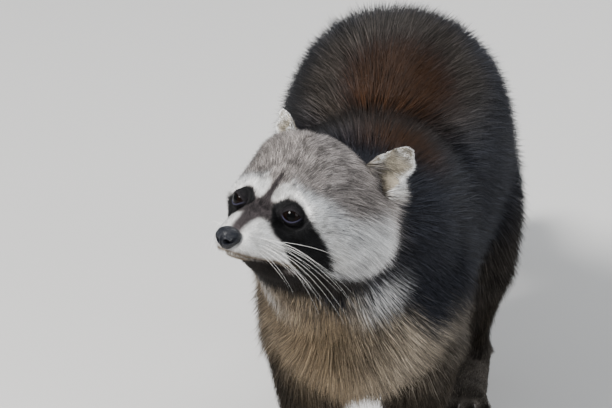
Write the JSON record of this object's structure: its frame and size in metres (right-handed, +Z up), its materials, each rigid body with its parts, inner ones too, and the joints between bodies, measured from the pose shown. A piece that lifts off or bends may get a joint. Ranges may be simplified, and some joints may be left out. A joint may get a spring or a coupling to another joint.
{
  "type": "raccoon model",
  "caption": "Life-size still model of a standing raccoon in its winter coat, with a black face mask, its head turned to its right and a ringed tail held out behind.",
  "frame": {"origin": "on the floor, under the middle of the animal's box", "axes": "+Z up, the animal faces -Y and its left side is +X; the soles of its feet are at z = 0"},
  "size_m": [0.2106, 0.7486, 0.3367],
  "materials": {
    "body_fur": "matte",
    "face_fur": "matte",
    "breast_fur": "matte",
    "ear_fur": "matte",
    "foot_fur": "matte",
    "tail_fur": "matte",
    "nose": "satin",
    "eye": "gloss",
    "claw": "satin"
  },
  "bodies": {
    "root": {"ear_left": "ear_fur", "ear_right": "ear_fur", "eye_left": "eye", "eye_right": "eye", "forearm_left": "body_fur", "forearm_right": "body_fur", "forefoot_left": "foot_fur", "forefoot_left_claw_1": "claw", "forefoot_left_claw_2": "claw", "forefoot_left_claw_3": "claw", "forefoot_left_claw_4": "claw", "forefoot_left_claw_5": "claw", "forefoot_right": "foot_fur", "forefoot_right_claw_1": "claw", "forefoot_right_claw_2": "claw", "forefoot_right_claw_3": "claw", "forefoot_right_claw_4": "claw", "forefoot_right_claw_5": "claw", "head": "face_fur", "hind_foot_left": "foot_fur", "hind_foot_left_claw_1": "claw", "hind_foot_left_claw_2": "claw", "hind_foot_left_claw_3": "claw", "hind_foot_left_claw_4": "claw", "hind_foot_left_claw_5": "claw", "hind_foot_right": "foot_fur", "hind_foot_right_claw_1": "claw", "hind_foot_right_claw_2": "claw", "hind_foot_right_claw_3": "claw", "hind_foot_right_claw_4": "claw", "hind_foot_right_claw_5": "claw", "lower_jaw": "face_fur", "neck": "breast_fur", "nose": "nose", "shank_left": "body_fur", "shank_right": "body_fur", "tail_1": "tail_fur", "tail_2": "tail_fur", "tail_3": "tail_fur", "thigh_left": "body_fur", "thigh_right": "body_fur", "trunk": "body_fur", "upper_arm_left": "body_fur", "upper_arm_right": "body_fur"}
  },
  "joints": []
}
